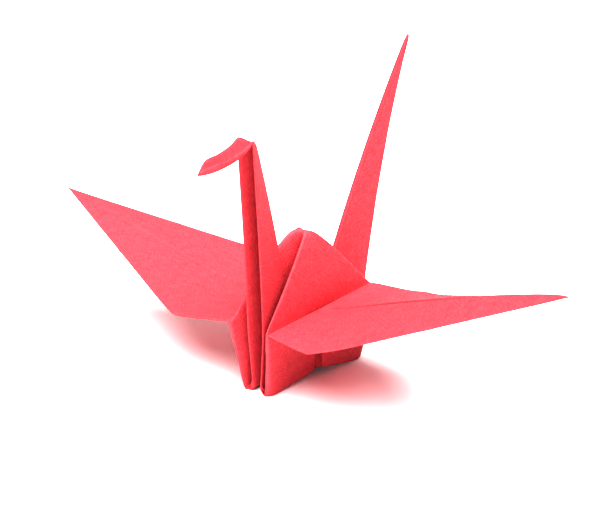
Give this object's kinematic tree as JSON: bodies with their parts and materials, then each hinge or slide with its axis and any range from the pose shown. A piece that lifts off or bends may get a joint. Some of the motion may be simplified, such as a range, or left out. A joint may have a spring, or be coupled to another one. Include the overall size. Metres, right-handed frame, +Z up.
{
  "type": "origami crane",
  "caption": "Paper crane folded from one square sheet, with level wings, a raised neck and tail and a bent-down head, standing on its folded feet.",
  "frame": {"origin": "on the table, under the tip of the hump, between the four toes of the folded feet", "axes": "+Z up, +X towards the head, +Y towards the crane's left wing"},
  "size_m": [0.0729, 0.1292, 0.0704],
  "materials": {
    "paper": "matte coloured origami paper"
  },
  "bodies": {
    "root": {"crane": "paper"}
  },
  "joints": []
}
